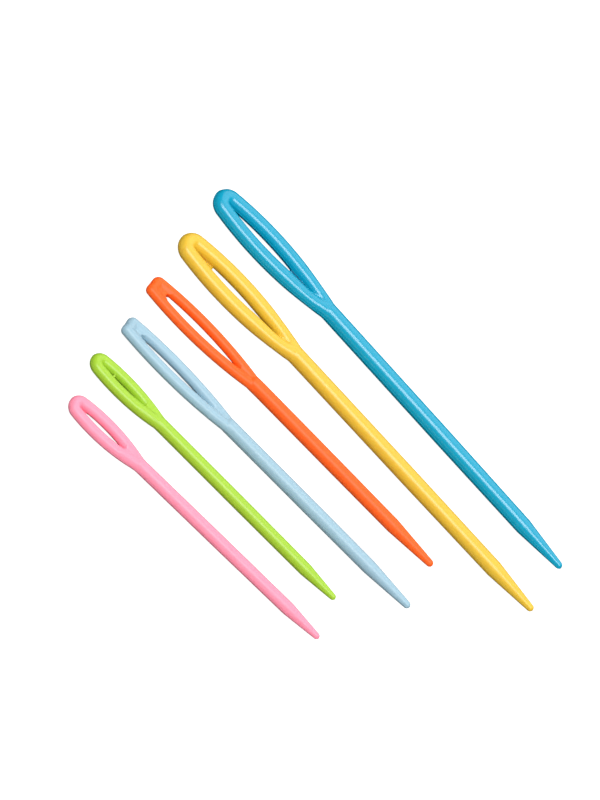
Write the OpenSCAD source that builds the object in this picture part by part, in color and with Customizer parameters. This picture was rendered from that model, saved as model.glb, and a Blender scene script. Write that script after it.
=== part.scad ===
// Six moulded plastic yarn needles in three sizes, lying in a loose fan on a table.
// The eyes are towards -X, the points towards +X, and the table is at z = 0.

/* [Large needle] */
// Length from the end of the eye to the tip
large_length = 95; // [80:1:120]
// Diameter of the straight part of the shaft
large_shaft_d = 3.4; // [3.2:0.1:4]
// Diameter of the shaft where the point begins
large_point_d = 3.2; // [2.4:0.1:3.2]
// Diameter of the rounded tip
large_tip_d = 1.4; // [1:0.1:2]
// Length of the tapered point
large_point_len = 10.6; // [6:0.2:16]
// Distance from the end of the eye to where the shaft begins to thin
large_straight_to = 62; // [50:1:66]
// Distance from the end of the eye to where its arms meet
large_eye_len = 30.7; // [28:0.5:36]
// Width over the arms of the eye
large_eye_w = 7.9; // [7:0.1:10]
// Distance from the end of the eye to its widest place
large_widest_at = 13.2; // [10:0.1:13.4]
// Diameter of an arm of the eye
large_arm_d = 2.92; // [2:0.02:3]
// Length of the neck, from the far end of the slot to where the arms meet
large_neck_len = 6.3; // [6.2:0.1:8]
// Thickness of the web between the arms
large_web_t = 1; // [0.8:0.1:2.4]
// How far the rounded start of the shaft reaches into the neck
large_nose_len = 2.1; // [1:0.1:3.6]

/* [Medium needle] */
// Length from the end of the eye to the tip
medium_length = 73.6; // [64:0.2:90]
// Diameter of the straight part of the shaft
medium_shaft_d = 2.86; // [2.6:0.02:3.4]
// Diameter of the shaft where the point begins
medium_point_d = 2.76; // [2:0.02:2.86]
// Diameter of the rounded tip
medium_tip_d = 1.4; // [0.8:0.1:1.8]
// Length of the tapered point
medium_point_len = 10.4; // [6:0.2:14]
// Distance from the end of the eye to where the shaft begins to thin
medium_straight_to = 48; // [40:1:50]
// Distance from the end of the eye to where its arms meet
medium_eye_len = 28.5; // [26:0.5:34]
// Width over the arms of the eye
medium_eye_w = 5.8; // [5:0.1:8]
// Distance from the end of the eye to its widest place
medium_widest_at = 11.2; // [9:0.1:13]
// Diameter of an arm of the eye
medium_arm_d = 2; // [1.6:0.02:2.2]
// Distance from the end of the eye to the near end of its slot
medium_slot_from = 3.8; // [2.5:0.1:6]
// Length of the neck, from the far end of the slot to where the arms meet
medium_neck_len = 5.7; // [5.5:0.1:8]
// Radius of the corners of the blunt end, seen from above
medium_corner_r = 0.9; // [0.5:0.05:1.4]
// Thickness of the webs between the arms
medium_web_t = 1.2; // [0.8:0.1:1.5]
// How far the rounded start of the shaft reaches into the neck
medium_nose_len = 3.4; // [1.5:0.1:4.5]

/* [Small needle] */
// Length from the end of the eye to the tip
small_length = 62.3; // [52:0.1:75]
// Diameter of the straight part of the shaft
small_shaft_d = 2.62; // [2.4:0.02:3]
// Diameter of the shaft where the point begins
small_point_d = 2.5; // [1.8:0.02:2.6]
// Diameter of the rounded tip
small_tip_d = 1.2; // [0.8:0.1:1.6]
// Length of the tapered point
small_point_len = 7.7; // [5:0.1:11]
// Distance from the end of the eye to where the shaft begins to thin
small_straight_to = 38; // [30:1:40]
// Distance from the end of the eye to where its arms meet
small_eye_len = 17.8; // [16.5:0.1:22]
// Width over the arms of the eye
small_eye_w = 5.46; // [4.8:0.02:7]
// Distance from the end of the eye to its widest place
small_widest_at = 7.4; // [6:0.1:8]
// Diameter of an arm of the eye
small_arm_d = 2.16; // [1.6:0.02:2.2]
// Length of the neck, from the far end of the slot to where the arms meet
small_neck_len = 4.9; // [4.6:0.1:6.5]
// Thickness of the web between the arms
small_web_t = 1.6; // [0.8:0.1:1.6]
// How far the rounded start of the shaft reaches into the neck
small_nose_len = 2.3; // [1.2:0.1:3.2]

/* [Layout] */
// Gap between the eyes of the blue and yellow needles
blue_yellow_gap = 6.5; // [3:0.1:15]
// Gap between the eyes of the yellow and orange needles
yellow_orange_gap = 6.7; // [3:0.1:15]
// Gap between the eyes of the orange and sky needles
orange_sky_gap = 6.3; // [3:0.1:15]
// Gap between the eyes of the sky and green needles
sky_green_gap = 5.9; // [3:0.1:15]
// Gap between the eyes of the green and pink needles
green_pink_gap = 5.5; // [3:0.1:15]
// How far the orange eye is set back from the blue one
orange_setback = 0.8; // [0:0.1:5]
// How far the sky eye is set back from the blue one
sky_setback = 1.8; // [0:0.1:5]
// How far the green eye is set back from the blue one
green_setback = 0.9; // [0:0.1:5]
// How far the pink eye is set back from the blue one
pink_setback = 2.7; // [0:0.1:5]
// Direction of the blue needle on the table, in degrees
blue_yaw = -2.7; // [-4:0.1:0]
// Direction of the yellow needle on the table, in degrees
yellow_yaw = -1.9; // [-3:0.1:0]
// Direction of the orange needle on the table, in degrees
orange_yaw = 0.2; // [-1:0.1:1]
// Direction of the sky needle on the table, in degrees
sky_yaw = 0.7; // [-1:0.1:2]
// Direction of the green needle on the table, in degrees
green_yaw = 0.7; // [-1:0.1:2]
// Direction of the pink needle on the table, in degrees
pink_yaw = 2; // [0:0.1:4]
// How far the large needles have rolled on their shafts, in degrees
large_roll = 3; // [0:0.1:4]
// How far the medium needles have rolled, one each way, in degrees
medium_roll = 5.9; // [0:0.1:8]
// How far the small needles have rolled, one each way, in degrees
small_roll = 5.3; // [0:0.1:6]
// How far the eyes of the large needles are bent sideways, in degrees
large_eye_bend = 1.4; // [0:0.1:2]
// How far the eye of the orange needle is bent sideways, in degrees
orange_eye_bend = 1; // [0:0.1:2]

/* [Hidden] */
$fn = 96;
// Flats over the outside of an arm
arc_steps = 16;
// Steps along the neck of an eye, along the open part of its arms and round its end
neck_steps = 5;
bow_steps = 12;
end_steps = 7;
// How much wider than an arm's own radius the tightest bend of its centre line is
bend_ease = 1.05;
// Length over which a slot closes at the neck
slot_lead = 0.4;
// Distance from the axis at which the two sides of an eye join
weld = 0.001;

// Places of the eye ends along Y, each set by its neighbour, its own width and the gap between
yellow_row = -(large_eye_w + blue_yellow_gap);
orange_row = yellow_row - (large_eye_w + medium_eye_w) / 2 - yellow_orange_gap;
sky_row = orange_row - medium_eye_w - orange_sky_gap;
green_row = sky_row - (medium_eye_w + small_eye_w) / 2 - sky_green_gap;
pink_row = green_row - small_eye_w - green_pink_gap;

// Outermost places of the set, which put its origin at the middle of its footprint
set_top = large_eye_w / 2 + large_widest_at * sin(blue_yaw) - (large_eye_len - large_widest_at) * sin(large_eye_bend);
set_bottom = pink_row - small_eye_w / 2 + small_widest_at * sin(pink_yaw);
middle_x = max(large_length * cos(blue_yaw), large_length * cos(yellow_yaw)) / 2;
middle_y = (set_top + set_bottom) / 2;

// Radius of an arc that bows out by rise over a half chord of run
function bow_radius(run, rise) = (run * run + rise * rise) / (2 * rise);

// Distance of an arm's centre line from the axis, at x from the end of the eye
function arm_y(x, eye_len, rise, widest_at) =
    let (r = bow_radius(eye_len - widest_at, rise))
    sqrt(r * r - pow(x - widest_at, 2)) - (r - rise);

// Outline of a square corner rounded to corner_r: its distance from a point that lies
// depth inside both sides, in the direction turn degrees from the normal of one side
function corner_reach(turn, depth, corner_r) =
    let (inset = depth - corner_r)
    let (steep = max(cos(turn), sin(turn)))
    let (shallow = min(cos(turn), sin(turn)))
    depth * shallow < inset * steep ? depth / steep
        : inset * (steep + shallow) + sqrt(pow(corner_r, 2) - pow(inset * (steep - shallow), 2));

// Point of a ring: out along direction from [x, y], at height z, never past the axis
function rim(x, y, direction, out, z) =
    let (side = y + out * sin(direction))
    [x + out * cos(direction), side < weld ? 0 : side, z];

// Ring of points round an arm or bend centred on [x, y], whose outside faces direction.
// An arc runs over the outside, cut off where it meets the web or the other arm. Three more
// points lie on the arm's inside where the slot is open, or on the axis at foot_x in a web
function ring(x, y, direction, open, foot_x, stretch, arm_r, web_h) =
    let (lean = direction < 180 ? min(1, y / (arm_r * sin(direction))) : 1)
    let (turn = min(180 - asin(web_h / arm_r), acos(-lean)))
    concat(
        [for (i = [0 : arc_steps])
            let (t = turn * (2 * i / arc_steps - 1))
            rim(x, y, direction, arm_r * cos(t) * (cos(t) > 0 ? stretch : 1), arm_r * sin(t))],
        [for (level = [1, 0, -1])
            let (t = 180 - level * (180 - turn) / 2)
            open * rim(x, y, direction, arm_r * cos(t), arm_r * sin(t))
                + (1 - open) * [foot_x, 0, level * web_h]]);

// How far the slot is open at x, from 0 in a web to 1, with a round end at slot_from
function slot_open(x, slot_from, slot_to, round_r) =
    let (t = min(1, (x - slot_from) / round_r))
    x >= slot_to || x <= slot_from ? 0 : slot_from > 0 ? sqrt(t * (2 - t)) : 1;

// Places along X of an arm's rings, from the neck to arm_from
function arm_places(eye_len, arm_from, slot_from, slot_to, round_r) = concat(
    [for (i = [0 : neck_steps]) eye_len + (slot_to - eye_len) * i / neck_steps],
    let (open_from = slot_from > 0 ? slot_from + round_r : arm_from)
    let (open_to = slot_to - slot_lead)
    [for (i = [0 : bow_steps]) open_to + (open_from - open_to) * i / bow_steps],
    slot_from > 0 ? [for (part = [0.5, 0.15, 0]) slot_from + part * round_r] : [],
    slot_from > 0 ? [(slot_from + arm_from) / 2, arm_from] : []);

// Closed skin through the rings of one side of an eye and their mirror images. It is
// capped at the neck, and points on the axis are shared by both sides
module skin(rings) {
    size = len(rings[0]);
    near = [for (r = rings, p = r) p];
    walls = [for (j = [0 : len(rings) - 2], k = [0 : size - 1])
        let (a = j * size + k)
        let (b = j * size + (k + 1) % size)
        each [[a, b, b + size], [a, b + size, a + size]]];
    cap = [[for (k = [0 : size - 1]) (size + arc_steps / 2 - k) % size]];
    kept = [for (face = concat(cap, walls))
        if (max([for (i = face) near[i][1]]) > 0) face];
    twins = [for (face = kept)
        [for (i = [len(face) : -1 : 1])
            let (p = face[i % len(face)])
            near[p][1] > 0 ? p + len(near) : p]];
    polyhedron(concat(near, [for (p = near) [p[0], -p[1], p[2]]]), concat(kept, twins));
}

// Round shaft along X with a rounded start, a straight part, a slight draft and a tapered point
module shaft(length, shaft_d, point_d, tip_d, point_len, straight_to, nose_at) {
    nose_x = nose_at + shaft_d / 2;
    point_x = length - point_len;
    tip_x = length - tip_d / 2;
    rotate([90, 0, 90])
        rotate_extrude()
            intersection() {
                union() {
                    translate([0, nose_x])
                        circle(d = shaft_d);
                    polygon([[0, nose_x], [shaft_d / 2, nose_x], [shaft_d / 2, straight_to],
                        [point_d / 2, point_x], [tip_d / 2, tip_x], [0, tip_x]]);
                    translate([0, tip_x])
                        circle(d = tip_d);
                }
                translate([0, nose_at])
                    square([shaft_d, length - nose_at]);
            }
}

// Eye with its arms, end and webs; bend turns it sideways about the neck.
// A corner_r above 0 makes the end blunt, with a web up to slot_from
module eye(eye_len, eye_w, widest_at, arm_d, web_t, neck_len, bend, corner_r = 0, slot_from = 0) {
    slot_to = eye_len - neck_len;
    arm_r = arm_d / 2;
    rise = (eye_w - arm_d) / 2;
    run = eye_len - widest_at;
    reach = widest_at - arm_r;
    bow_r = bow_radius(run, rise);
    // Radius of the bend that is tangent to both bows and touches the end of the eye
    round_r = (run * run - reach * reach) / (2 * (bow_r - reach));
    end_r = corner_r > 0 ? arm_r * bend_ease : round_r;
    end_x = arm_r + end_r;
    end_y = corner_r > 0 ? rise - bow_r + sqrt(pow(bow_r - end_r, 2) - pow(end_x - widest_at, 2)) : 0;
    end_angle = atan2(end_y + bow_r - rise, end_x - widest_at);
    arm_from = widest_at + bow_r * cos(end_angle);
    slot_r = slot_from > 0 ? arm_y(slot_from, eye_len, rise, widest_at) - arm_r : 0;
    arm_rings = [for (x = arm_places(eye_len, arm_from, slot_from, slot_to, slot_r))
        let (y = arm_y(x, eye_len, rise, widest_at))
        let (direction = acos((x - widest_at) / bow_r))
        ring(x, y, direction, slot_open(x, slot_from, slot_to, slot_r),
            x - y / tan(direction), 1, arm_r, web_t / 2)];
    foot_from = arm_from - arm_y(arm_from, eye_len, rise, widest_at) / tan(end_angle);
    bend_rings = [for (i = [1 : end_steps])
        let (direction = end_angle + (180 - end_angle) * i / end_steps)
        let (depth = end_r + arm_r)
        let (far = corner_r > 0 ? corner_reach(180 - direction, depth, corner_r) : depth)
        ring(end_x + end_r * cos(direction), end_y + end_r * sin(direction), direction,
            corner_r > 0 ? 0 : 1, foot_from + (arm_d - foot_from) * i / (end_steps + 1),
            (far - end_r) / arm_r, arm_r, web_t / 2)];
    bar_rings = corner_r > 0 ? [ring(arm_r, 0, 180, 0, arm_d, 1, arm_r, web_t / 2)] : [];
    translate([eye_len, 0, 0])
        rotate([0, 0, bend])
            translate([-eye_len, 0, 0])
                skin(concat(arm_rings, bend_rings, bar_rings));
}

module large_needle(bend = 0) {
    eye(large_eye_len, large_eye_w, large_widest_at, large_arm_d, large_web_t, large_neck_len, bend);
    shaft(large_length, large_shaft_d, large_point_d, large_tip_d, large_point_len,
        large_straight_to, large_eye_len - large_nose_len);
}

module medium_needle(bend = 0) {
    eye(medium_eye_len, medium_eye_w, medium_widest_at, medium_arm_d, medium_web_t, medium_neck_len,
        bend, medium_corner_r, medium_slot_from);
    shaft(medium_length, medium_shaft_d, medium_point_d, medium_tip_d, medium_point_len,
        medium_straight_to, medium_eye_len - medium_nose_len);
}

module small_needle() {
    eye(small_eye_len, small_eye_w, small_widest_at, small_arm_d, small_web_t, small_neck_len, 0);
    shaft(small_length, small_shaft_d, small_point_d, small_tip_d, small_point_len,
        small_straight_to, small_eye_len - small_nose_len);
}

// Lays a needle on the table: its eye end at setback along X and row along Y
module lay(setback, row, yaw, roll, shaft_d) {
    translate([setback - middle_x, row - middle_y, shaft_d / 2])
        rotate([0, 0, yaw])
            rotate([roll, 0, 0])
                children();
}

module blue_needle() {
    color([0.16, 0.66, 0.82])
        lay(0, 0, blue_yaw, large_roll, large_shaft_d)
            large_needle(large_eye_bend);
}

module yellow_needle() {
    color([0.93, 0.77, 0.25])
        lay(0, yellow_row, yellow_yaw, large_roll, large_shaft_d)
            large_needle(large_eye_bend);
}

module orange_needle() {
    color([0.97, 0.43, 0.22])
        lay(orange_setback, orange_row, orange_yaw, medium_roll, medium_shaft_d)
            medium_needle(orange_eye_bend);
}

module sky_needle() {
    color([0.66, 0.8, 0.86])
        lay(sky_setback, sky_row, sky_yaw, -medium_roll, medium_shaft_d)
            medium_needle();
}

module green_needle() {
    color([0.7, 0.86, 0.3])
        lay(green_setback, green_row, green_yaw, -small_roll, small_shaft_d)
            small_needle();
}

module pink_needle() {
    color([0.98, 0.62, 0.72])
        lay(pink_setback, pink_row, pink_yaw, small_roll, small_shaft_d)
            small_needle();
}

blue_needle();
yellow_needle();
orange_needle();
sky_needle();
green_needle();
pink_needle();
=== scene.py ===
"""Six moulded plastic yarn needles in three sizes, lying side by side on a white table."""

import math
from dataclasses import dataclass

import bpy
import numpy as np
from mathutils import Matrix, Vector


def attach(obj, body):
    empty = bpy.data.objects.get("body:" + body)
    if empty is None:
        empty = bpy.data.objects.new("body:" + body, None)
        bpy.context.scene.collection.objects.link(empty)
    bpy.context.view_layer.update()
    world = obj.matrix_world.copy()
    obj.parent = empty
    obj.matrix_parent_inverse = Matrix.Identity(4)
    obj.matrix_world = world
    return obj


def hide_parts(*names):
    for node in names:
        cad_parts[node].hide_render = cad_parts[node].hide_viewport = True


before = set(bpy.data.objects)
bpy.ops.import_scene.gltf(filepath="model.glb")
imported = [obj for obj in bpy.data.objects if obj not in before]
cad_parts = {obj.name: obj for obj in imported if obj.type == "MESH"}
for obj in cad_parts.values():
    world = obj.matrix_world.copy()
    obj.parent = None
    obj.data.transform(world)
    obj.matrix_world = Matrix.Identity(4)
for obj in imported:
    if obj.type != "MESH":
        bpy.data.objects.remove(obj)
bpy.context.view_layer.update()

MM = 0.001

# The needles. Lengths are in millimetres and angles in degrees.


@dataclass(frozen=True)
class Mould:
    """Sizes of one mould. Places along a needle are measured from the end of its eye."""
    length: float
    shaft_r: float
    straight_to: float  # where the shaft begins to thin
    point_r: float  # radius where the point begins
    point_len: float
    tip_r: float
    eye_len: float  # to where the centre lines of the arms meet
    eye_w: float
    widest_at: float
    arm_r: float
    slot_to: float
    nose_at: float  # where the rounded start of the shaft begins
    web_h: float  # half the thickness of the webs
    web_fillet: float
    slot_from: float = 0.0  # above 0, the eye has a blunt end with a web of its own
    web_dip: float = 0.0  # how much lower the web lies at the slot
    thinning: float = 0.0  # how much the arms lose in radius before the neck
    thin_at: tuple = ()  # where that starts, is full, fades and is gone

    @property
    def rise(self):
        """Distance of an arm's centre line from the axis, at the widest place."""
        return self.eye_w / 2 - self.arm_r

    @property
    def run(self):
        """Length from the widest place to where the arms meet."""
        return self.eye_len - self.widest_at

    @property
    def bow_r(self):
        """Radius of the circle that an arm's centre line follows."""
        return (self.run * self.run + self.rise * self.rise) / (2 * self.rise)

    @property
    def bow_y(self):
        """Place of that circle's centre across the needle."""
        return self.rise - self.bow_r

    def arm_y(self, x):
        """Distance of an arm's centre line from the axis at x."""
        return np.sqrt(np.maximum(self.bow_r ** 2 - (x - self.widest_at) ** 2, 0)) + self.bow_y


@dataclass(frozen=True)
class Marks:
    """Small marks that moulding left on one needle."""
    swell: float = 0.0  # added to the radius of the arms
    ridge: float = 0.03  # height of the parting line
    corner_far: float = 1.1  # radius of a blunt end's corner on the +y side
    corner_near: float = 0.85  # and on the -y side
    notch: float = 0.0  # depth of a nick in a blunt end
    dents: tuple = ()  # each a ball: x, y, z, radius and the rounding of its edge
    flash: tuple = ()  # each a wisp: x, y, z and its radii along them
    film: tuple = ()  # each a thin film in the slot: where it starts and ends


@dataclass(frozen=True)
class Plastic:
    """Look of one plastic."""
    color: tuple
    roughness: float
    shine: float  # strength of the gloss
    inside: float  # share of the light that goes inside
    spread: float  # how far it spreads there


@dataclass(frozen=True)
class Needle:
    """One needle as it lies on the table, pointing along +x at a yaw of 0."""
    mould: Mould
    x: float  # end of its eye
    y: float
    yaw: float
    roll: float
    bend: float  # how far the eye leans sideways from the neck
    marks: Marks
    plastic: Plastic


LARGE = Mould(
    length=95.0, shaft_r=1.70, straight_to=62.0, point_r=1.60, point_len=10.6, tip_r=0.70,
    eye_len=30.7, eye_w=7.9, widest_at=13.2, arm_r=1.46, slot_to=24.4, nose_at=28.6,
    web_h=0.10, web_fillet=0.35, web_dip=0.7, thinning=0.18, thin_at=(20.0, 25.0, 26.8, 29.2))
MEDIUM = Mould(
    length=73.6, shaft_r=1.43, straight_to=48.0, point_r=1.38, point_len=10.4, tip_r=0.70,
    eye_len=28.5, eye_w=5.8, widest_at=11.2, arm_r=1.0, slot_to=22.8, nose_at=25.1,
    web_h=0.60, web_fillet=0.35, slot_from=3.6)
SMALL = Mould(
    length=62.3, shaft_r=1.31, straight_to=38.0, point_r=1.25, point_len=7.7, tip_r=0.60,
    eye_len=17.8, eye_w=5.46, widest_at=7.4, arm_r=1.08, slot_to=13.3, nose_at=15.5,
    web_h=0.68, web_fillet=0.80)

NEEDLES = {
    "blue": Needle(
        LARGE, x=-47.474, y=31.056, yaw=-2.7, roll=3.0, bend=1.4,
        marks=Marks(swell=0.06, ridge=0.07, film=((19.8, 24.6),)),
        plastic=Plastic((0.001, 0.335, 0.512), 0.25, shine=0.8, inside=0.10, spread=0.6)),
    "yellow": Needle(
        LARGE, x=-47.474, y=16.656, yaw=-1.9, roll=3.0, bend=1.4,
        marks=Marks(swell=0.06, ridge=0.02, film=((2.8, 8.2),)),
        plastic=Plastic((0.750, 0.480, 0.036), 0.32, shine=0.65, inside=0.20, spread=1.5)),
    "orange": Needle(
        MEDIUM, x=-46.674, y=3.106, yaw=0.2, roll=5.9, bend=1.0,
        marks=Marks(corner_far=1.2, dents=((-0.12, -0.45, 0.35, 0.35, 0.1),)),
        plastic=Plastic((0.980, 0.120, 0.009), 0.42, shine=0.35, inside=0.20, spread=1.5)),
    "sky": Needle(
        MEDIUM, x=-45.674, y=-8.994, yaw=0.7, roll=-5.9, bend=0.0,
        marks=Marks(swell=0.07, notch=0.1, film=((3.6, 5.2), (18.3, 23.0))),
        plastic=Plastic((0.310, 0.475, 0.570), 0.36, shine=0.5, inside=0.20, spread=1.5)),
    "green": Needle(
        SMALL, x=-46.574, y=-20.524, yaw=0.7, roll=-5.3, bend=0.0,
        marks=Marks(swell=0.06, dents=((-0.05, -0.6, 0.2, 0.2, 0.1),),
                    flash=((5.3, 0.0, 0.35, 0.25, 0.4, 0.12),)),
        plastic=Plastic((0.340, 0.570, 0.032), 0.34, shine=0.55, inside=0.20, spread=1.5)),
    "pink": Needle(
        SMALL, x=-44.774, y=-31.484, yaw=2.0, roll=5.3, bend=0.0,
        marks=Marks(film=((1.5, 4.0),)),
        plastic=Plastic((1.000, 0.282, 0.395), 0.36, shine=0.4, inside=0.20, spread=1.5)),
}

# Sizes that all the needles share

CREASE = 0.12  # rounds the inner corner where the two arms meet on the axis
DIP_LEN = 4.0  # length beyond the slot over which a dipped web comes up again
BEND_HALF = 1.5  # length before and after the neck over which the eye's lean fades
# Fillet at the start of the shaft: on top, what the sides have more, and how high the sides
# reach, as a share of the shaft's radius
TOP_FILLET, SIDE_FILLET, SIDE_SHARE = 0.1, 0.25, 0.7
NOTCH_Y, NOTCH_W = -0.3, 0.5  # place and width of a notch across the needle
RIDGE_W = 0.075  # width of the parting line
FLASH_FILLET = 0.15
FILM_HALF, FILM_FILLET = 0.12, 0.1  # half the thickness of a film, and its fillet
FILM_DEPTH = 0.55  # how low a film lies, as a share of the arm's radius
FILM_WAVES = ((0.12, 9.0, 1.0), (0.06, 23.0, 0.0))  # its ragged edge: height, rate and phase


def arc_distance(x, y, cx, cy, radius, start, end, out=0.0):
    """Distance in the plane to an arc between two angles, moved outwards by out."""
    dx, dy = x - cx, y - cy
    angle = np.arctan2(dy, dx)
    ring = np.abs(np.hypot(dx, dy) - radius - out)
    ends = np.minimum(*[
        np.hypot(dx - radius * math.cos(a), dy - radius * math.sin(a)) for a in (start, end)])
    return np.where((angle >= start) & (angle <= end), ring, ends)


def ease(x, start, end):
    """Smooth step from 0 at start to 1 at end."""
    t = np.clip((x - start) / (end - start), 0, 1)
    return t * t * (3 - 2 * t)


def join(a, b, k):
    """Union of two distance fields, with a fillet of about k where they meet."""
    h = np.maximum(k - np.abs(a - b), 0) / k
    return np.minimum(a, b) - h * h * k / 4


def cut(a, b, k):
    """What two distance fields share, with its edges rounded by about k."""
    return -join(-a, -b, k)


def shaft_field(m, x, y, z):
    """Round shaft with a rounded start, a slight draft and a tapered point."""
    rho = np.hypot(y, z)
    nose_x = m.nose_at + m.shaft_r
    point_x = m.length - m.point_len
    tip_x = m.length - m.tip_r
    xs = [nose_x, m.straight_to, point_x, tip_x]
    rs = [m.shaft_r, m.shaft_r, m.point_r, m.tip_r]
    slope = math.cos(math.atan2(m.point_r - m.tip_r, m.point_len))
    side = (rho - np.interp(x, xs, rs)) * np.where(x > point_x, slope, 1.0)
    nose = np.hypot(x - nose_x, rho) - m.shaft_r
    tip = np.hypot(x - tip_x, rho) - m.tip_r
    return np.where(x < nose_x, nose, np.where(x > tip_x, tip, side))


def round_eye_line(m, arm_r, x, side, thin):
    """Distance in the plane to the centre line of a round eye: an arm and half its round end."""
    reach = m.widest_at - arm_r
    # The round end is tangent to the arms, and its outside starts at 0
    end_r = (m.run * m.run - reach * reach) / (2 * (m.bow_r - reach))
    end_x = arm_r + end_r
    neck_angle = math.atan2(m.bow_r - m.rise, m.run)
    end_angle = math.atan2(m.bow_r - m.rise, end_x - m.widest_at)
    return np.minimum(
        arc_distance(x, side, m.widest_at, m.bow_y, m.bow_r, neck_angle, end_angle, thin),
        arc_distance(x, side, end_x, 0, end_r, end_angle, math.pi))


def blunt_eye_line(m, marks, arm_r, x, y, side):
    """Distance in the plane to the centre line of a blunt eye, which keeps arm_r from its rim."""
    corner = np.where(y > 0, marks.corner_far, marks.corner_near)
    # How far outside the arm and the end a point lies, both moved in by the corner's radius
    along = np.hypot(x - m.widest_at, side - m.bow_y) - m.bow_r - arm_r + corner
    ahead = corner - x + marks.notch * np.exp(-((y - NOTCH_Y) / NOTCH_W) ** 2)
    inset = (np.minimum(np.maximum(along, ahead), 0)
             + np.hypot(np.maximum(along, 0), np.maximum(ahead, 0)))
    line = np.abs(inset - corner + arm_r)
    return np.where(x > m.eye_len, np.hypot(x - m.eye_len, side), line)


def thinning(m, x):
    """How much thinner the arms are at x, which keeps the valley before the neck deep."""
    if not m.thinning:
        return 0.0
    start, full, fading, gone = m.thin_at
    return m.thinning * ease(x, start, full) * (1 - ease(x, fading, gone))


def eye_field(m, marks, x, y, z):
    """The two arms of an eye and the webs between them."""
    arm_r = m.arm_r + marks.swell
    side = np.hypot(y, CREASE)
    thin = thinning(m, x)
    if m.slot_from > 0:
        line = blunt_eye_line(m, marks, arm_r, x, y, side)
    else:
        line = round_eye_line(m, arm_r, x, side, thin)
    body = np.hypot(line, z) - arm_r + thin
    between = side - m.arm_y(x)
    dip = m.web_dip * (1 - ease(x, m.slot_to, m.slot_to + DIP_LEN))
    web = np.maximum.reduce([
        np.abs(z + dip) - m.web_h, between, m.slot_to - x, x - m.eye_len])
    body = join(body, web, m.web_fillet)
    if m.slot_from > 0:
        # The slot begins with a half circle between the arms
        gap = m.rise - (m.widest_at - m.slot_from) ** 2 / (2 * m.bow_r) - arm_r
        web_to = x - m.slot_from - gap
        web = np.maximum.reduce([
            np.abs(z) - m.web_h, between, arm_r - x, web_to, gap - np.hypot(web_to, y)])
        body = join(body, web, m.web_fillet)
    return body


def needle_field(m, marks, x, y, z):
    """Signed distance to one needle in its own frame: x along it, y across, z up."""
    low = np.clip(1 - np.abs(z) / (SIDE_SHARE * m.shaft_r), 0, 1)
    body = join(eye_field(m, marks, x, y, z), shaft_field(m, x, y, z),
                TOP_FILLET + SIDE_FILLET * low)
    for px, py, pz, radius, edge in marks.dents:
        ball = np.sqrt((x - px) ** 2 + (y - py) ** 2 + (z - pz) ** 2) - radius
        body = cut(body, -ball, edge)
    for px, py, pz, rx, ry, rz in marks.flash:
        wisp = np.sqrt(((x - px) / rx) ** 2 + ((y - py) / ry) ** 2 + ((z - pz) / rz) ** 2) - 1
        body = join(body, wisp * min(rx, ry, rz), FLASH_FILLET)
    for start, end in marks.film:
        ragged = sum(height * np.sin(rate * y + phase) for height, rate, phase in FILM_WAVES)
        film = np.maximum.reduce([
            np.abs(z + FILM_DEPTH * (m.arm_r + marks.swell)) - FILM_HALF,
            np.hypot(y, CREASE) - m.arm_y(x), start + ragged - x, x - end - ragged])
        body = join(body, film, FILM_FILLET)
    return body - marks.ridge * np.exp(-(z / RIDGE_W) ** 2)


# Meshes

# Steps of the grid along a needle: at both ends, along the arms, in the neck, along the shaft
# and along the point
END_STEP, ARM_STEP, NECK_STEP, SHAFT_STEP, POINT_STEP = 0.12, 0.25, 0.15, 0.5, 0.3
EYE_END_LEN, TIP_END_LEN = 3.2, 2.2  # lengths with the end step
NECK_BEFORE, NECK_AFTER, POINT_BEFORE = 1.5, 1.0, 1.0  # how much earlier or later steps change
STEPS_ACROSS = [(0, 0.1), (0.8, 0.16)]  # distances from the axis, and the step from there on
STEPS_UP = [(0, 0.035), (0.14, 0.09), (0.5, 0.16)]
AHEAD, BESIDE = 0.5, 0.4  # how far the grid reaches beyond the needle
PASSES = 4  # how often the points are moved onto the surface
PROBE = 0.01  # how far off the field is sampled for its slope
LEAST_SLOPE, MOST_MOVE = 0.25, 0.1  # limits of the squared slope and of one move


def spaced(places, end):
    """Grid lines up to end: places is a list of (place, step from there on)."""
    lines = []
    for (a, step), b in zip(places, [a for a, _ in places[1:]] + [end]):
        n = max(1, round((b - a) / step))
        lines += list(a + (b - a) * np.arange(n) / n)
    return np.array(lines + [end])


def cell_points(values, points):
    """Which grid cells the zero level crosses, and the mean of its crossings in each of them."""
    total = np.zeros([n - 1 for n in values.shape] + [3])
    count = np.zeros(total.shape[:3])

    def part(array, corner):
        return array[tuple(slice(c, array.shape[n] - 1 + c) for n, c in enumerate(corner))]

    for a in np.ndindex(2, 2, 2):
        for axis in range(3):
            if a[axis]:
                continue
            b = tuple(1 if n == axis else c for n, c in enumerate(a))
            va, vb = part(values, a), part(values, b)
            crossed = (va < 0) != (vb < 0)
            t = np.where(crossed, va / np.where(crossed, va - vb, 1), 0)[..., None]
            place = part(points, a) * (1 - t) + part(points, b) * t
            total += place * crossed[..., None]
            count += crossed
    used = count > 0
    return used, total[used] / count[used][:, None]


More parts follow.
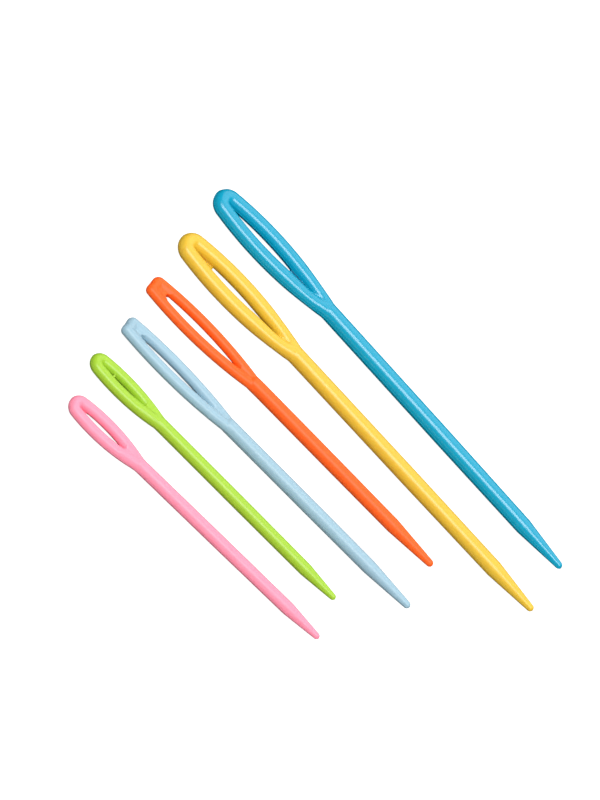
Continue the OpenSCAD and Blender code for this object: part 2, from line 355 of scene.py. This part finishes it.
def cell_quads(inside, used):
    """One quad around each grid line that leaves the solid, facing outwards."""
    index = np.full(used.shape, -1)
    index[used] = np.arange(used.sum())
    quads = []
    for axis in range(3):
        low, high = [slice(1, -1)] * 3, [slice(1, -1)] * 3
        low[axis], high[axis] = slice(0, -1), slice(1, None)
        one, two = inside[tuple(low)], inside[tuple(high)]
        where = np.argwhere(one != two)
        outward = one[one != two]
        where += [0 if n == axis else 1 for n in range(3)]
        u, v = [n for n in range(3) if n != axis]
        loop = []
        for du, dv in ((0, 0), (1, 0), (1, 1), (0, 1)):
            cell = where.copy()
            cell[:, u] -= du
            cell[:, v] -= dv
            loop.append(index[cell[:, 0], cell[:, 1], cell[:, 2]])
        faces = np.stack(loop, axis=1)
        turned = outward if axis == 1 else ~outward
        faces[turned] = faces[turned][:, ::-1]
        quads.append(faces)
    return np.concatenate(quads)


def surface(field, xs, ys, zs):
    """Vertices and quads of the zero level of field, one vertex in each crossed grid cell."""
    grid = np.meshgrid(xs, ys, zs, indexing="ij")
    values = field(*grid)
    used, verts = cell_points(values, np.stack(grid, axis=-1))
    for _ in range(PASSES):
        distance = field(*verts.T)
        slope = np.stack([
            (field(*(verts + o).T) - field(*(verts - o).T)) / (2 * PROBE)
            for o in np.eye(3) * PROBE], axis=1)
        steepness = np.maximum((slope ** 2).sum(axis=1), LEAST_SLOPE)
        verts += np.clip(-(distance / steepness)[:, None] * slope, -MOST_MOVE, MOST_MOVE)
    return verts, cell_quads(values < 0, used)


def grid_lines(m):
    """Grid lines for a mould: close where its eye narrows and beside its parting line."""
    x = spaced([(-AHEAD, END_STEP), (EYE_END_LEN, ARM_STEP), (m.slot_to - NECK_BEFORE, NECK_STEP),
                (m.nose_at + m.shaft_r + NECK_AFTER, SHAFT_STEP),
                (m.length - m.point_len - POINT_BEFORE, POINT_STEP),
                (m.length - TIP_END_LEN, END_STEP)], m.length + AHEAD)
    y = spaced(STEPS_ACROSS, m.eye_w / 2 + BESIDE)
    z = spaced(STEPS_UP, m.shaft_r + BESIDE)
    return x, np.concatenate([-y[:0:-1], y]), np.concatenate([-z[:0:-1], z])


def needle_mesh(name, needle):
    """Mesh object for one needle, lying where the frame has it."""
    m = needle.mould
    verts, quads = surface(
        lambda x, y, z: needle_field(m, needle.marks, x, y, z), *grid_lines(m))
    fade = 1 - ease(verts[:, 0], m.eye_len - BEND_HALF, m.eye_len + BEND_HALF)
    lean = math.radians(needle.bend) * fade
    dx, dy = verts[:, 0] - m.eye_len, verts[:, 1].copy()
    verts[:, 0] = m.eye_len + dx * np.cos(lean) - dy * np.sin(lean)
    verts[:, 1] = dx * np.sin(lean) + dy * np.cos(lean)
    yaw = Matrix.Rotation(math.radians(needle.yaw), 3, "Z")
    roll = Matrix.Rotation(math.radians(needle.roll), 3, "X")
    verts = verts @ np.array(yaw @ roll).T + [needle.x, needle.y, m.shaft_r]
    mesh = bpy.data.meshes.new(name + "_moulding")
    mesh.from_pydata((verts * MM).tolist(), [], quads.tolist())
    mesh.validate()
    mesh.shade_smooth()
    piece = bpy.data.objects.new(name + "_moulding", mesh)
    bpy.context.collection.objects.link(piece)
    return piece


# Material

IOR = 1.49
STREAKS = (60, 420, 420)  # noise waves per metre along and across the needle
TINT = 0.02  # how far the streaks change the colour, as a share of it
SKIN = 2600  # noise waves per metre of the fine skin
GLOSS_RANGE = 0.015  # how far the skin changes the roughness
BUMP_STRENGTH, BUMP_HEIGHT = 0.01, 0.00005  # the height in metres


def plastic(name, look):
    """Moulded plastic: faint flow streaks along the needle, a fine skin and a soft gloss."""
    mat = bpy.data.materials.new(name + "_plastic")
    mat.use_nodes = True
    tree = mat.node_tree
    add, link = tree.nodes.new, tree.links.new
    shader = tree.nodes["Principled BSDF"]
    shader.inputs["IOR"].default_value = IOR
    shader.inputs["Specular IOR Level"].default_value = look.shine
    shader.inputs["Subsurface Weight"].default_value = look.inside
    shader.inputs["Subsurface Radius"].default_value = (look.spread, look.spread, look.spread)
    shader.inputs["Subsurface Scale"].default_value = MM
    where = add("ShaderNodeTexCoord")
    stretch = add("ShaderNodeMapping")
    stretch.inputs["Scale"].default_value = STREAKS
    link(where.outputs["Object"], stretch.inputs["Vector"])
    streaks = add("ShaderNodeTexNoise")
    streaks.inputs["Scale"].default_value = 1.0
    streaks.inputs["Detail"].default_value = 3.0
    link(stretch.outputs["Vector"], streaks.inputs["Vector"])
    tint = add("ShaderNodeMix")
    tint.data_type = "RGBA"
    tint.inputs["A"].default_value = (*[c * (1 - TINT) for c in look.color], 1)
    tint.inputs["B"].default_value = (*[min(1, c * (1 + TINT)) for c in look.color], 1)
    link(streaks.outputs["Fac"], tint.inputs["Factor"])
    link(tint.outputs["Result"], shader.inputs["Base Color"])
    skin = add("ShaderNodeTexNoise")
    skin.inputs["Scale"].default_value = SKIN
    skin.inputs["Detail"].default_value = 2.0
    link(where.outputs["Object"], skin.inputs["Vector"])
    gloss = add("ShaderNodeMapRange")
    gloss.inputs["To Min"].default_value = look.roughness - GLOSS_RANGE
    gloss.inputs["To Max"].default_value = look.roughness + GLOSS_RANGE
    link(skin.outputs["Fac"], gloss.inputs["Value"])
    link(gloss.outputs["Result"], shader.inputs["Roughness"])
    bump = add("ShaderNodeBump")
    bump.inputs["Strength"].default_value = BUMP_STRENGTH
    bump.inputs["Distance"].default_value = BUMP_HEIGHT
    link(skin.outputs["Fac"], bump.inputs["Height"])
    link(bump.outputs["Normal"], shader.inputs["Normal"])
    return mat


# Camera

IMAGE_H = 800  # height of the photograph in pixels
PX_PER_MM = 5.475  # its scale at the target
TARGET = Vector((-11.17, 10.11, 0)) * MM  # what the middle of the picture shows
AZIMUTH, ELEVATION, ROLL = -13.0, 45.0, 55.0
DISTANCE = 1100.0  # in millimetres, as is the width of the sensor
SENSOR = 36.0
CLIP = 0.05, 20.0  # in metres


def camera():
    """Long lens at the photograph's angle, turned about its own axis."""
    a, e, roll = (math.radians(v) for v in (AZIMUTH, ELEVATION, ROLL))
    level = Vector((math.cos(a), math.sin(a), 0))
    back = Vector((math.sin(a) * math.cos(e), -math.cos(a) * math.cos(e), math.sin(e)))
    rise = back.cross(level)
    right = level * math.cos(roll) + rise * math.sin(roll)
    up = rise * math.cos(roll) - level * math.sin(roll)
    data = bpy.data.cameras.new("camera")
    data.sensor_width = SENSOR
    data.lens = PX_PER_MM * DISTANCE * SENSOR / IMAGE_H
    data.clip_start, data.clip_end = CLIP
    cam = bpy.data.objects.new("camera", data)
    place = Matrix((right, up, back)).transposed().to_4x4()
    place.translation = TARGET + back * DISTANCE * MM
    cam.matrix_world = place
    bpy.context.collection.objects.link(cam)
    bpy.context.scene.camera = cam


# Table and light, in metres and watts

FLOOR_R, FLOOR_FLAT = 4.0, 2.0  # radius of a floor, and of its flat middle
FLOOR_RINGS, FLOOR_SIDES = 24, 96
# Each lamp: its direction from the needles, distance, width and height, and power
LAMPS = {
    "key": ((-0.05, -0.407, 0.914), 1.2, (1.4, 0.6), 16),
    "back": ((0.1, 0.64, 0.77), 2.0, (3.0, 2.6), 26),
}
ROOM_STRENGTH = 0.40


def floor(name, drop, rim, shade, glow):
    """Wide round floor with its rim raised; shade is its colour, glow its own light."""
    verts, faces = [(0, 0, -drop)], []
    for i in range(1, FLOOR_RINGS + 1):
        r = FLOOR_R * (i / FLOOR_RINGS) ** 2
        z = rim * (max(r - FLOOR_FLAT, 0) / (FLOOR_R - FLOOR_FLAT)) ** 2 - drop
        angles = [2 * math.pi * k / FLOOR_SIDES for k in range(FLOOR_SIDES)]
        verts += [(r * math.cos(angle), r * math.sin(angle), z) for angle in angles]
    for k in range(FLOOR_SIDES):
        after = (k + 1) % FLOOR_SIDES
        faces.append((0, 1 + k, 1 + after))
        for i in range(FLOOR_RINGS - 1):
            a = 1 + i * FLOOR_SIDES
            b = a + FLOOR_SIDES
            faces.append((a + k, b + k, b + after, a + after))
    mesh = bpy.data.meshes.new(name)
    mesh.from_pydata(verts, [], faces)
    mat = bpy.data.materials.new(name)
    mat.use_nodes = True
    shader = mat.node_tree.nodes["Principled BSDF"]
    shader.inputs["Base Color"].default_value = (shade, shade, shade, 1)
    shader.inputs["Roughness"].default_value = 0.9
    shader.inputs["Specular IOR Level"].default_value = 0.0
    shader.inputs["Emission Color"].default_value = (1, 1, 1, 1)
    shader.inputs["Emission Strength"].default_value = glow
    mesh.materials.append(mat)
    disc = bpy.data.objects.new(name, mesh)
    disc.visible_glossy = disc.visible_transmission = False
    bpy.context.collection.objects.link(disc)
    return disc


def softbox(name, towards, distance, size, power):
    """Area light in direction towards, facing the needles, its width level with x."""
    data = bpy.data.lights.new(name, "AREA")
    data.shape = "RECTANGLE"
    data.size, data.size_y = size
    data.energy = power
    lamp = bpy.data.objects.new(name, data)
    out = Vector(towards).normalized()
    side = Vector((1, 0, 0))
    side = (side - out * side.dot(out)).normalized()
    place = Matrix((side, out.cross(side), out)).transposed().to_4x4()
    place.translation = out * distance
    lamp.matrix_world = place
    lamp.visible_camera = False
    bpy.context.collection.objects.link(lamp)


def light():
    """A softbox high in front and a wide panel on the far side, in a pale room."""
    for name, lamp in LAMPS.items():
        softbox(name, *lamp)
    world = bpy.data.worlds.new("room")
    bpy.context.scene.world = world
    world.use_nodes = True
    background = world.node_tree.nodes["Background"]
    background.inputs["Color"].default_value = (1, 1, 1, 1)
    background.inputs["Strength"].default_value = ROOM_STRENGTH
    world.cycles_visibility.glossy = False


bpy.context.scene.view_settings.view_transform = "Standard"
camera()
# The camera sees the white floor; the needles only get light and contact shade from the grey one
floor("table", drop=0.0, rim=1.5, shade=0.3, glow=0.95).visible_diffuse = False
floor("table_shade", drop=0.0001, rim=0.0, shade=0.80, glow=0.0).visible_camera = False
light()
for name, needle in NEEDLES.items():
    piece = needle_mesh(name, needle)
    piece.data.materials.append(plastic(name, needle.plastic))
    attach(piece, name)
    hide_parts(name + "_needle")
